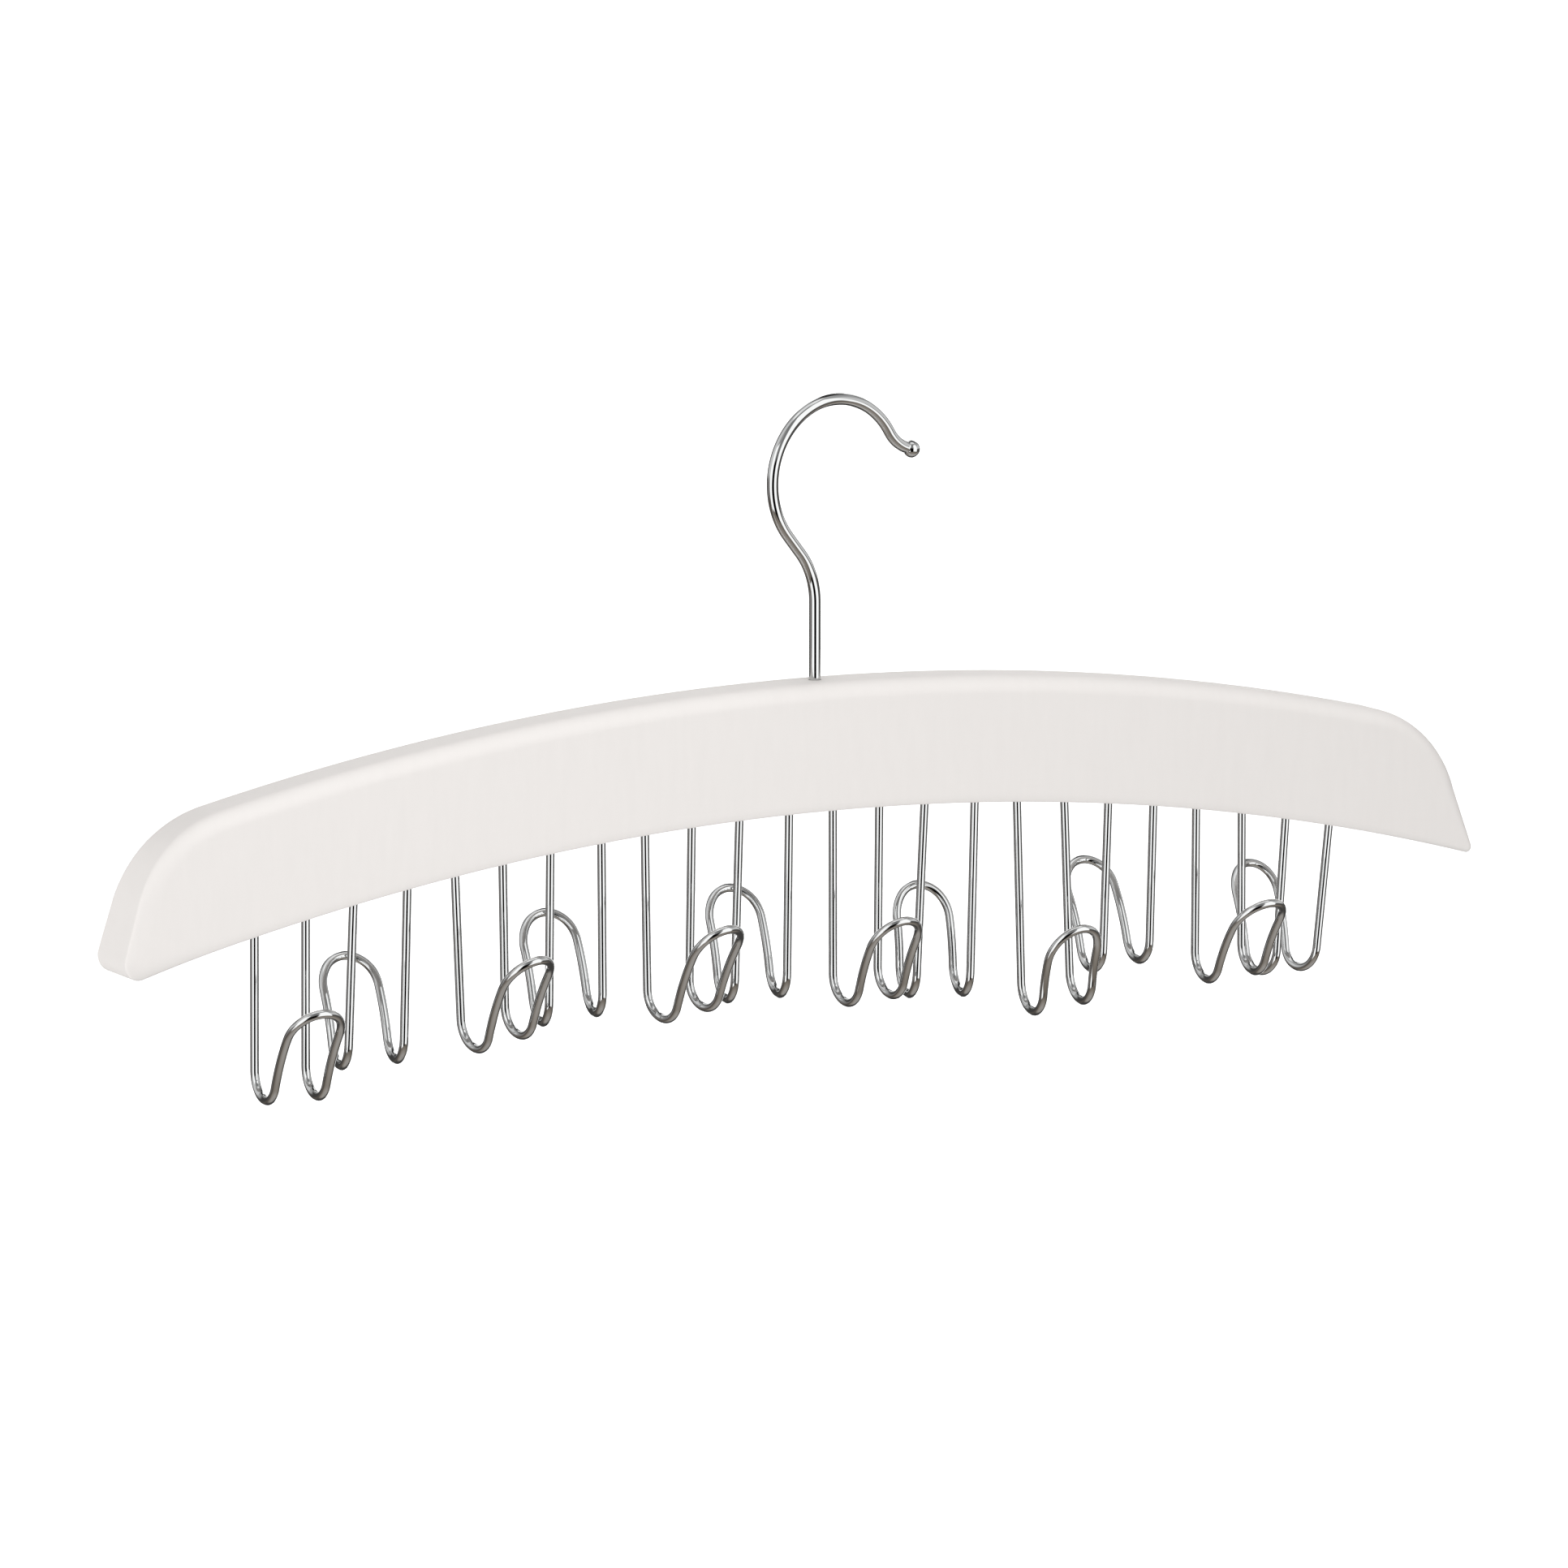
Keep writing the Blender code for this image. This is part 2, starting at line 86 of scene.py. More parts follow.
BAR_LENGTH = 0.4382
BAR_HEIGHT = 0.0367
BAR_THICKNESS = 0.019
BAR_OFFSET = 0.00045
TOP_ARCH_RADIUS = 0.813
UNDERSIDE_ARCH_RADIUS = 0.789
SHOULDER_RADIUS = 0.0374
LEFT_END_LEAN = math.radians(19.2)
RIGHT_END_LEAN = math.radians(16.4)
LEFT_TIP_RADIUS = 0.0048
RIGHT_TIP_RADIUS = 0.0017
# how far the edges are rounded: over the front face and back from it, over the rear face and forward
TOP_ROUNDING = Vector((0.0050, 0.0050, 0.0050, 0.0050))
LEFT_END_ROUNDING = Vector((0.0050, 0.0022, 0.0020, 0.0020))
RIGHT_END_ROUNDING = Vector((0.0045, 0.0045, 0.0045, 0.0045))
LEFT_TIP_ROUNDING = Vector((0.0042, 0.0014, 0.0020, 0.0020))
RIGHT_TIP_ROUNDING = Vector((0.0014, 0.0009, 0.0014, 0.0014))
UNDERSIDE_ROUNDING = Vector((0.0025, 0.0005, 0.0015, 0.0015))
TIP_EASE = 0.060
# the left end is sanded back, out of square: how far at the front and at the rear, over what length
TRIM_FRONT = 0.0025
TRIM_REAR = 0.0010
TRIM_REACH = 0.035
# how finely the outline and its edges are drawn
TOP_STEPS = 50
SHOULDER_STEPS = 30
TIP_STEPS = 14
UNDERSIDE_STEPS = 60
EDGE_STEPS = 10
BAR_WELD = 0.000001
STEM_HOLE_RADIUS = 0.0019
NUT_RECESS_RADIUS = 0.0040
NUT_RECESS_DEPTH = 0.0054
LEG_HOLE_RADIUS = 0.00145
LEG_HOLE_DEPTH = 0.0143
# a drill's sides, and how far outside the wood it starts
DRILL_SIDES = 32
DRILL_START = 0.002
# only edges that turn more than this stay sharp
BAR_CREASE = math.radians(40.0)
PAINT_WHITE = "F2EEEB"
PAINT_SHADE = "EEEAE7"
PAINT_SPECULAR = 0.15
PAINT_ROUGHNESS = (0.50, 0.64)
# the noise under which a pore is open to its full depth, and the noise over which there is none
PORE_BOTTOM = 0.30
PORE_TOP = 0.45
# the patterns' sizes along the board, through it and up it
MOTTLE_SIZE = (0.00286, 0.00833, 0.0167)
PORE_SIZE = (0.0111, 0.00111, 0.00111)
PORE_DEPTH = 0.00001
PEEL_SIZE = 0.002
PEEL_HEIGHT = 0.00001


def linear(srgb_hex):
    """An sRGB hex colour as the linear numbers that Blender's sockets take."""
    channels = [int(srgb_hex[i:i + 2], 16) / 255 for i in (0, 2, 4)]
    return (*[c / 12.92 if c <= 0.04045 else ((c + 0.055) / 1.055)**2.4 for c in channels], 1.0)


def cells(*sizes):
    """The scale for a pattern whose cells have these sizes in metres."""
    return [1.0 / size for size in sizes]


def add_node(tree, kind, settings=None, values=None, links=None):
    """Adds one node: settings are its own, values go on its inputs, links come from other outputs."""
    node = tree.nodes.new(kind)
    for name, value in (settings or {}).items():
        setattr(node, name, value)
    for name, value in (values or {}).items():
        node.inputs[name].default_value = value
    for name, output in (links or {}).items():
        tree.links.new(output, node.inputs[name])
    return node


def new_finish(name, values):
    """A material with its Principled BSDF set. Returns the material, its tree and that shader."""
    finish = bpy.data.materials.new(name)
    finish.use_nodes = True
    shader = finish.node_tree.nodes["Principled BSDF"]
    for socket, value in values.items():
        shader.inputs[socket].default_value = value
    return finish, finish.node_tree, shader


class Rim(NamedTuple):
    """A point of the bar's outline, the way out of the board there, and how its edges are rounded."""

    point: Vector
    outward: Vector
    rounding: Vector


def arc_rim(centre, radius, start, end, steps, rounding_of, hollow=False):
    """The outline along an arc. rounding_of gives the rounding at a share of the way along it."""
    rim = []
    for i in range(steps + 1):
        angle = start + (end - start) * i / steps
        spoke = Vector((math.cos(angle), math.sin(angle)))
        rim.append(Rim(centre + radius * spoke, -spoke if hollow else spoke, rounding_of(i / steps)))
    return rim


def direction_angle(vector):
    """The angle of a flat vector from the x axis."""
    return math.atan2(vector.y, vector.x)


def right_half_rim(tip_radius, end_lean, end_rounding, tip_rounding):
    """The outline from the top of the arch, down the right end, to the middle of the underside."""
    top_centre = Vector((0.0, -TOP_ARCH_RADIUS))
    under_centre = Vector((0.0, -BAR_HEIGHT - UNDERSIDE_ARCH_RADIUS))
    outward = Vector((math.cos(end_lean), math.sin(end_lean)))
    up_the_end = Vector((-math.sin(end_lean), math.cos(end_lean)))
    tip_x = BAR_LENGTH / 2 - tip_radius
    tip_z = under_centre.y + math.sqrt((UNDERSIDE_ARCH_RADIUS + tip_radius)**2 - tip_x**2)
    tip_centre = Vector((tip_x, tip_z))
    # the shoulder's arc meets the straight end and the top arch, so its centre lies that far up the end
    below_shoulder = tip_centre + outward * (tip_radius - SHOULDER_RADIUS) - top_centre
    along = below_shoulder.dot(up_the_end)
    reach = TOP_ARCH_RADIUS - SHOULDER_RADIUS
    rise = math.sqrt(along**2 - below_shoulder.dot(below_shoulder) + reach**2) - along
    shoulder_centre = top_centre + below_shoulder + up_the_end * rise
    to_shoulder = direction_angle(shoulder_centre - top_centre)
    end_angle = direction_angle(outward)

    def under_rounding(share):
        eased = max(0.0, 1.0 - share * BAR_LENGTH / 2 / TIP_EASE)**2
        return UNDERSIDE_ROUNDING.lerp(tip_rounding, eased)

    rim = arc_rim(top_centre, TOP_ARCH_RADIUS, math.pi / 2, to_shoulder, TOP_STEPS,
                  lambda share: TOP_ROUNDING)
    rim += arc_rim(shoulder_centre, SHOULDER_RADIUS, to_shoulder, end_angle, SHOULDER_STEPS,
                   lambda share: TOP_ROUNDING.lerp(end_rounding, share))[1:]
    rim += arc_rim(tip_centre, tip_radius, end_angle, direction_angle(under_centre - tip_centre), TIP_STEPS,
                   lambda share: tip_rounding)
    rim += arc_rim(under_centre, UNDERSIDE_ARCH_RADIUS, direction_angle(tip_centre - under_centre),
                   math.pi / 2, UNDERSIDE_STEPS, under_rounding, hollow=True)[1:]
    return rim


def underside_z(x):
    """Height of the bar's underside at a place along it."""
    sagitta = UNDERSIDE_ARCH_RADIUS - math.sqrt(UNDERSIDE_ARCH_RADIUS**2 - (x - BAR_OFFSET)**2)
    return BAR_CREST - BAR_HEIGHT - sagitta


def drill(board, radius, x, z_low, z_high):
    """Bores an upright hole at that x, midway through the thickness."""
    bpy.ops.mesh.primitive_cylinder_add(vertices=DRILL_SIDES, radius=radius, depth=z_high - z_low,
                                        location=(x, 0.0, (z_low + z_high) / 2))
    bit = bpy.context.object
    bpy.context.view_layer.objects.active = board
    bore = board.modifiers.new("bore", "BOOLEAN")
    bore.operation = "DIFFERENCE"
    bore.solver = "EXACT"
    bore.object = bit
    bpy.ops.object.modifier_apply(modifier=bore.name)
    bpy.data.objects.remove(bit, do_unlink=True)


rim = right_half_rim(RIGHT_TIP_RADIUS, RIGHT_END_LEAN, RIGHT_END_ROUNDING, RIGHT_TIP_ROUNDING)
left_rim = right_half_rim(LEFT_TIP_RADIUS, LEFT_END_LEAN, LEFT_END_ROUNDING, LEFT_TIP_ROUNDING)
for point, outward, rounding in left_rim[-2:0:-1]:
    rim.append(Rim(Vector((-point.x, point.y)), Vector((-outward.x, outward.y)), rounding))
# a grid is wrapped round the board: its columns follow the outline, its rows go over the front edge, across
# the thickness and over the rear edge, and the two faces are then filled in
turns = [math.pi / 2 * i / EDGE_STEPS for i in range(EDGE_STEPS + 1)]
rings = [(-1, turn) for turn in turns] + [(1, turn) for turn in reversed(turns)]
bpy.ops.mesh.primitive_grid_add(x_subdivisions=len(rim), y_subdivisions=len(rings) - 1, size=BAR_LENGTH)
bar = bpy.context.object
bar.name = "painted_bar"
for vertex in bar.data.vertices:
    row, column = divmod(vertex.index, len(rim) + 1)
    side, turn = rings[row]
    point, outward, rounding = rim[column % len(rim)]
    over_face, into_edge = rounding.xy if side < 0 else rounding.zw
    set_in = point - outward * over_face * (1.0 - math.sin(turn))
    y = side * (BAR_THICKNESS / 2 - into_edge * (1.0 - math.cos(turn)))
    # the sanding at the left end grows with the square of the way into it
    share = max(0.0, 1.0 - (BAR_LENGTH / 2 + set_in.x) / TRIM_REACH)
    trim = TRIM_REAR + (TRIM_FRONT - TRIM_REAR) * (0.5 - y / BAR_THICKNESS)
    vertex.co = (BAR_OFFSET + set_in.x + trim * share**2, y, BAR_CREST + set_in.y)
bpy.ops.object.mode_set(mode="EDIT")
bpy.ops.mesh.select_all(action="SELECT")
bpy.ops.mesh.remove_doubles(threshold=BAR_WELD)
bpy.ops.mesh.fill_holes(sides=0)
bpy.ops.mesh.select_all(action="SELECT")
bpy.ops.mesh.normals_make_consistent(inside=False)
bpy.ops.object.mode_set(mode="OBJECT")
underside_middle = BAR_CREST - BAR_HEIGHT
drill(bar, STEM_HOLE_RADIUS, 0.0, underside_middle - DRILL_START, BAR_CREST + DRILL_START)
drill(bar, NUT_RECESS_RADIUS, 0.0, underside_middle - DRILL_START, underside_middle + NUT_RECESS_DEPTH)

# satin enamel, sprayed: soft highlights, a skin with a slight orange peel, and an upright mottle that is
# hardly seen. The beech's pores under it show as short shallow dips along the board. Real ones are about
# 0.1 mm wide, too fine to show, so they are drawn ten times as coarse.
paint, paint_tree, paint_shader = new_finish("white satin paint on beech", {
    "IOR": 1.5, "Specular IOR Level": PAINT_SPECULAR})
on_bar = add_node(paint_tree, "ShaderNodeTexCoord").outputs["Object"]
upright = add_node(paint_tree, "ShaderNodeMapping", values={"Scale": cells(*MOTTLE_SIZE)},
                   links={"Vector": on_bar}).outputs["Vector"]
mottle = add_node(paint_tree, "ShaderNodeTexNoise", values={"Scale": 1.0, "Detail": 3.0, "Roughness": 0.6},
                  links={"Vector": upright}).outputs["Fac"]
tint = add_node(paint_tree, "ShaderNodeMix", {"data_type": "RGBA"}, links={"Factor": mottle})
tint.inputs["A"].default_value = linear(PAINT_SHADE)
tint.inputs["B"].default_value = linear(PAINT_WHITE)
paint_tree.links.new(tint.outputs["Result"], paint_shader.inputs["Base Color"])
sheen = add_node(paint_tree, "ShaderNodeMapRange", links={"Value": mottle},
                 values={"To Min": PAINT_ROUGHNESS[0], "To Max": PAINT_ROUGHNESS[1]}).outputs["Result"]
paint_tree.links.new(sheen, paint_shader.inputs["Roughness"])
peel = add_node(paint_tree, "ShaderNodeTexNoise", values={"Scale": 1.0 / PEEL_SIZE, "Detail": 1.0},
                links={"Vector": on_bar}).outputs["Fac"]
along_board = add_node(paint_tree, "ShaderNodeMapping", values={"Scale": cells(*PORE_SIZE)},
                       links={"Vector": on_bar}).outputs["Vector"]
pores = add_node(paint_tree, "ShaderNodeTexNoise", values={"Scale": 1.0, "Detail": 2.0},
                 links={"Vector": along_board}).outputs["Fac"]
dips = add_node(paint_tree, "ShaderNodeMapRange", links={"Value": pores},
                values={"From Min": PORE_BOTTOM, "From Max": PORE_TOP}).outputs["Result"]
skin = add_node(paint_tree, "ShaderNodeBump", values={"Strength": 1.0, "Distance": PEEL_HEIGHT},
                links={"Height": peel}).outputs["Normal"]
surface = add_node(paint_tree, "ShaderNodeBump", values={"Strength": 1.0, "Distance": PORE_DEPTH},
                   links={"Height": dips, "Normal": skin}).outputs["Normal"]
paint_tree.links.new(surface, paint_shader.inputs["Normal"])
bar.data.materials.append(paint)
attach(bar, "bar")
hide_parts("hanger_bar")


# Swivel hook
# A 3.4 mm steel wire bent on formers and chrome plated, its tip upset into a small ball. The shank goes
# down through the bar to a washer and a nut, so that the hook turns in the bar.

HOOK_WIRE = 0.0034
SHANK_BELOW_CREST = 0.0357
STEM_RISE = 0.0223
NECK_RADIUS = 0.0222
NECK_ANGLE = math.radians(40.3)
NECK_STRAIGHT = 0.0070
CROOK_RADIUS = 0.0229
CROOK_SWEEP = math.radians(188.3)
TIP_CURL_RADIUS = 0.0113
TIP_CURL_ANGLE = math.radians(39.2)
TIP_STRAIGHT = 0.0023
TIP_BALL = 0.0050
BALL_RINGS = 24
BALL_END = math.radians(178.0)
BEND_STEP = math.radians(2.0)
HOOK_TURN = math.radians(10.0)
WIRE_ROUNDNESS = 8
WIRE_WELD = 0.00001
WIRE_CREASE = math.radians(50.0)
CHROME = "C4C5C5"
CHROME_ROUGHNESS = (0.004, 0.022)
# the patterns' lengths along the wire, and how many of their cells its radius spans
WAVE_LENGTH = 0.0091
WAVES_ACROSS = 0.9
WAVE_HEIGHT = 0.000012
DIE_LINE_LENGTH = 0.040
DIE_LINES_ACROSS = 5.0
DIE_LINE_HEIGHT = 0.0000008


def draw_wire(name, path, diameter, swell=None):
    """A round wire along the path, closed at both ends. swell gives each point's share of the diameter."""
    bpy.ops.curve.primitive_nurbs_path_add()
    wire = bpy.context.object
    wire.name = name
    line = wire.data
    line.splines.clear()
    run = line.splines.new("POLY")
    run.points.add(len(path) - 1)
    for index, point in enumerate(path):
        run.points[index].co = (*point, 1.0)
        run.points[index].radius = swell[index] if swell else 1.0
    line.twist_mode = "MINIMUM"
    line.bevel_depth = diameter / 2
    line.bevel_resolution = WIRE_ROUNDNESS
    line.use_fill_caps = True
    bpy.ops.object.convert(target="MESH")
    # the wire's own map: once around it, and the length along it in metres
    lengths = [0.0]
    for before, after in zip(path, path[1:]):
        lengths.append(lengths[-1] + (Vector(after) - Vector(before)).length)
    for corner in bpy.context.object.data.uv_layers.active.data:
        index = min(round(corner.uv.y * (len(path) - 1)), len(path) - 1)
        corner.uv.y = lengths[index]
    bpy.ops.object.mode_set(mode="EDIT")
    bpy.ops.mesh.select_all(action="SELECT")
    bpy.ops.mesh.remove_doubles(threshold=WIRE_WELD)
    bpy.ops.mesh.normals_make_consistent(inside=False)
    bpy.ops.object.mode_set(mode="OBJECT")
    bpy.ops.object.shade_smooth_by_angle(angle=WIRE_CREASE)
    return bpy.context.object


def bend(points, heading, radius, angle):
    """Adds a bend to the wire in the plane of the hook and returns its new heading. Left is positive."""
    side = math.copysign(1.0, angle)
    start = points[-1]
    centre = start + side * radius * Vector((-math.sin(heading), math.cos(heading)))
    steps = math.ceil(abs(angle) / BEND_STEP)
    for i in range(1, steps + 1):
        spoke = start - centre
        spoke.rotate(Matrix.Rotation(angle * i / steps, 2))
        points.append(centre + spoke)
    return heading + angle


def ahead(heading, length):
    """The step that the wire takes when it runs straight on."""
    return length * Vector((math.cos(heading), math.sin(heading)))


hook_path = [Vector((0.0, -SHANK_BELOW_CREST)), Vector((0.0, STEM_RISE))]
heading = math.pi / 2
heading = bend(hook_path, heading, NECK_RADIUS, NECK_ANGLE)
hook_path.append(hook_path[-1] + ahead(heading, NECK_STRAIGHT))
heading = bend(hook_path, heading, CROOK_RADIUS, -CROOK_SWEEP)
heading = bend(hook_path, heading, TIP_CURL_RADIUS, TIP_CURL_ANGLE)
swell = [1.0] * len(hook_path)
ball_centre = hook_path[-1] + ahead(heading, TIP_STRAIGHT)
ball_start = math.asin(HOOK_WIRE / TIP_BALL)
for i in range(BALL_RINGS + 1):
    ring = ball_start + (BALL_END - ball_start) * i / BALL_RINGS
    hook_path.append(ball_centre - ahead(heading, math.cos(ring) * TIP_BALL / 2))
    swell.append(math.sin(ring) * TIP_BALL / HOOK_WIRE)
standing_path = [(point.x * math.cos(HOOK_TURN), point.x * math.sin(HOOK_TURN), BAR_CREST + point.y)
                 for point in hook_path]
hook = draw_wire("chromed_swivel_hook", standing_path, HOOK_WIRE, swell)

# bright chrome on drawn wire: a clear mirror whose reflections waver a little along the wire, with a slight
# haze here and there, and under it the lines that the drawing die left. Real ones are a few hundredths of a
# millimetre apart, too fine to show, so they are drawn as coarse as a tenth of the wire.
chrome, chrome_tree, chrome_shader = new_finish("chrome plated steel wire", {
    "Base Color": linear(CHROME), "Metallic": 1.0})
wire_map = add_node(chrome_tree, "ShaderNodeUVMap", {"uv_map": "UVMap"}).outputs["UV"]
around, along, _ = add_node(chrome_tree, "ShaderNodeSeparateXYZ", links={"Vector": wire_map}).outputs
angle = add_node(chrome_tree, "ShaderNodeMath", {"operation": "MULTIPLY"}, {1: 2 * math.pi},
                 {0: around}).outputs["Value"]
cosine = add_node(chrome_tree, "ShaderNodeMath", {"operation": "COSINE"}, links={0: angle}).outputs["Value"]
sine = add_node(chrome_tree, "ShaderNodeMath", {"operation": "SINE"}, links={0: angle}).outputs["Value"]
on_wire = add_node(chrome_tree, "ShaderNodeCombineXYZ",
                   links={"X": cosine, "Y": sine, "Z": along}).outputs["Vector"]
for_waves = add_node(chrome_tree, "ShaderNodeMapping", links={"Vector": on_wire},
                     values={"Scale": (WAVES_ACROSS, WAVES_ACROSS, 1.0 / WAVE_LENGTH)}).outputs["Vector"]
waves = add_node(chrome_tree, "ShaderNodeTexNoise", values={"Scale": 1.0, "Detail": 1.0},
                 links={"Vector": for_waves}).outputs["Fac"]
for_lines = add_node(
    chrome_tree, "ShaderNodeMapping", links={"Vector": on_wire},
    values={"Scale": (DIE_LINES_ACROSS, DIE_LINES_ACROSS, 1.0 / DIE_LINE_LENGTH)}).outputs["Vector"]
die_lines = add_node(chrome_tree, "ShaderNodeTexNoise", links={"Vector": for_lines},
                     values={"Scale": 1.0, "Detail": 3.0, "Roughness": 0.6}).outputs["Fac"]
haze = add_node(chrome_tree, "ShaderNodeMapRange", links={"Value": die_lines},
                values={"To Min": CHROME_ROUGHNESS[0], "To Max": CHROME_ROUGHNESS[1]}).outputs["Result"]
chrome_tree.links.new(haze, chrome_shader.inputs["Roughness"])
wavering = add_node(chrome_tree, "ShaderNodeBump", values={"Strength": 1.0, "Distance": WAVE_HEIGHT},
                    links={"Height": waves}).outputs["Normal"]
drawn = add_node(chrome_tree, "ShaderNodeBump", values={"Strength": 1.0, "Distance": DIE_LINE_HEIGHT},
                 links={"Height": die_lines, "Normal": wavering}).outputs["Normal"]
chrome_tree.links.new(drawn, chrome_shader.inputs["Normal"])
hook.data.materials.append(chrome)
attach(hook, "hook")
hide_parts("swivel_hook")


# Washer and nut
# A punched steel washer and a pressed hexagon nut, both zinc plated, hold the shank up in the recess under
# the bar. The nut's corners are chamfered above and below, and the washer's edge is rounded by tumbling.

WASHER_RADIUS = 0.0035
WASHER_THICKNESS = 0.0006
WASHER_TOP = 0.0316
NUT_ACROSS_FLATS = 0.0055
NUT_HEIGHT = 0.0024
NUT_TOP = 0.0325
WIRE_HOLE_RADIUS = 0.00176
WASHER_EDGE = 0.00012
NUT_CHAMFER = 0.00035
NUT_CHAMFER_RADIUS = NUT_ACROSS_FLATS * 0.56
BORE_EDGE = 0.00010
WASHER_SIDES = 64
BLANK_SIDES = 96
FIXING_CREASE = math.radians(35.0)
# an edge is level, and lies on a rim, when its ends are this true
LEVEL_WITHIN = 0.00001
RADIUS_WITHIN = 0.00005
ZINC = "B9BBBD"
ZINC_SHADE = "A3A5A8"
ZINC_ROUGHNESS = (0.25, 0.45)
SPANGLE_SIZE = 0.0011
DENT_SIZE = 0.0007
DENT_DEPTH = 0.00002


def bevel_edges(piece, chosen, width, segments):
    """Bevels the edges whose two ends make chosen true."""
    bpy.ops.object.mode_set(mode="EDIT")
    bpy.ops.mesh.select_all(action="DESELECT")
    bpy.ops.object.mode_set(mode="OBJECT")
    corners = piece.data.vertices
    for edge in piece.data.edges:
        edge.select = chosen(corners[edge.vertices[0]].co, corners[edge.vertices[1]].co)
    bpy.ops.object.mode_set(mode="EDIT")
    bpy.ops.mesh.bevel(offset=width, segments=segments)
    bpy.ops.object.mode_set(mode="OBJECT")


def on_rim(radius):
    """What makes bevel_edges choose the level edges that run around the shank at that radius."""
    return lambda one, other: (abs(one.z - other.z) < LEVEL_WITHIN
                               and abs(one.xy.length - radius) < RADIUS_WITHIN
                               and abs(other.xy.length - radius) < RADIUS_WITHIN)


def bore_for_shank(piece):
    """Puts the place of a new washer or nut into its mesh and bores it."""
    bpy.ops.object.transform_apply()
    drill(piece, WIRE_HOLE_RADIUS, 0.0, BAR_CREST - NUT_TOP - 2 * NUT_HEIGHT,
          BAR_CREST - WASHER_TOP + NUT_HEIGHT)


def fit_on_shank(piece, node):
    """Eases the bore's edges, zinc plates the piece and gives it its node's place on the hook."""
    bevel_edges(piece, on_rim(WIRE_HOLE_RADIUS), BORE_EDGE, segments=2)
    bpy.ops.object.select_all(action="DESELECT")
    piece.select_set(True)
    bpy.ops.object.shade_smooth_by_angle(angle=FIXING_CREASE)
    piece.data.materials.clear()
    piece.data.materials.append(zinc)
    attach(piece, "hook")
    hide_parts(node)


# zinc plating, tumbled in a barrel: dull silvery grey, with a cloudy spangle and small dents that scatter
# the light. Both are drawn coarser than they are, because only a few square millimetres show.
zinc, zinc_tree, zinc_shader = new_finish("zinc plated steel", {"Metallic": 1.0})
on_fixing = add_node(zinc_tree, "ShaderNodeTexCoord").outputs["Object"]
clouds = add_node(zinc_tree, "ShaderNodeTexNoise", links={"Vector": on_fixing},
                  values={"Scale": 1.0 / SPANGLE_SIZE, "Detail": 4.0, "Roughness": 0.7}).outputs["Fac"]
spangle = add_node(zinc_tree, "ShaderNodeMix", {"data_type": "RGBA"}, links={"Factor": clouds})
spangle.inputs["A"].default_value = linear(ZINC_SHADE)
spangle.inputs["B"].default_value = linear(ZINC)
zinc_tree.links.new(spangle.outputs["Result"], zinc_shader.inputs["Base Color"])
dullness = add_node(zinc_tree, "ShaderNodeMapRange", links={"Value": clouds},
                    values={"To Min": ZINC_ROUGHNESS[0], "To Max": ZINC_ROUGHNESS[1]}).outputs["Result"]
zinc_tree.links.new(dullness, zinc_shader.inputs["Roughness"])
dents = add_node(zinc_tree, "ShaderNodeTexVoronoi", values={"Scale": 1.0 / DENT_SIZE},
                 links={"Vector": on_fixing}).outputs["Distance"]
tumbled = add_node(zinc_tree, "ShaderNodeBump", values={"Strength": 1.0, "Distance": DENT_DEPTH},
                   links={"Height": dents}).outputs["Normal"]
zinc_tree.links.new(tumbled, zinc_shader.inputs["Normal"])

bpy.ops.mesh.primitive_cylinder_add(vertices=WASHER_SIDES, radius=WASHER_RADIUS, depth=WASHER_THICKNESS,
                                    location=(0.0, 0.0, BAR_CREST - WASHER_TOP - WASHER_THICKNESS / 2))
washer = bpy.context.object
washer.name = "zinc_washer"
bore_for_shank(washer)
bevel_edges(washer, on_rim(WASHER_RADIUS), WASHER_EDGE, segments=3)
fit_on_shank(washer, "hook_washer")

nut_middle = (0.0, 0.0, BAR_CREST - NUT_TOP - NUT_HEIGHT / 2)
bpy.ops.mesh.primitive_cylinder_add(vertices=6, radius=NUT_ACROSS_FLATS / math.sqrt(3.0), depth=NUT_HEIGHT,
                                    location=nut_middle, rotation=(0.0, 0.0, HOOK_TURN))
nut = bpy.context.object
nut.name = "zinc_hexagon_nut"
bore_for_shank(nut)
# a round blank with bevelled rims, wider than the flats, keeps all of the nut but its six corners' tips
bpy.ops.mesh.primitive_cylinder_add(vertices=BLANK_SIDES, radius=NUT_CHAMFER_RADIUS, depth=NUT_HEIGHT,
                                    location=nut_middle)
blank = bpy.context.object
bpy.ops.object.transform_apply()
bevel_edges(blank, on_rim(NUT_CHAMFER_RADIUS), NUT_CHAMFER, segments=1)
bpy.context.view_layer.objects.active = nut
chamfer = nut.modifiers.new("chamfer", "BOOLEAN")
chamfer.operation = "INTERSECT"
chamfer.solver = "EXACT"
chamfer.object = blank
bpy.ops.object.modifier_apply(modifier=chamfer.name)
bpy.data.objects.remove(blank, do_unlink=True)
fit_on_shank(nut, "hook_nut")


# Belt hooks
# Each is one 2.5 mm steel wire, bent over at the middle into a narrow arch, flared, turned up into a J
# and chrome plated. The two legs are glued into the bar, and every hook was trued by hand.

BELT_WIRE = 0.0025
BELT_HOOK_WIDTH = 0.0155
BELT_HOOK_DROP = 0.0520
END_MARGIN = 0.0529
ROW_OFFSET = -0.0004
LEG_DEPTH = 0.0140
FOOT_RADIUS = 0.00725
LIP_FLARE = math.radians(25.0)
LIP_HEIGHT = 0.0270
LIP_ARCH = 0.0100
# how finely a wire's bends are drawn
LEG_STEPS = 20
FOOT_STEPS = 48
LIP_STEPS = 14
ARCH_STEPS = 30


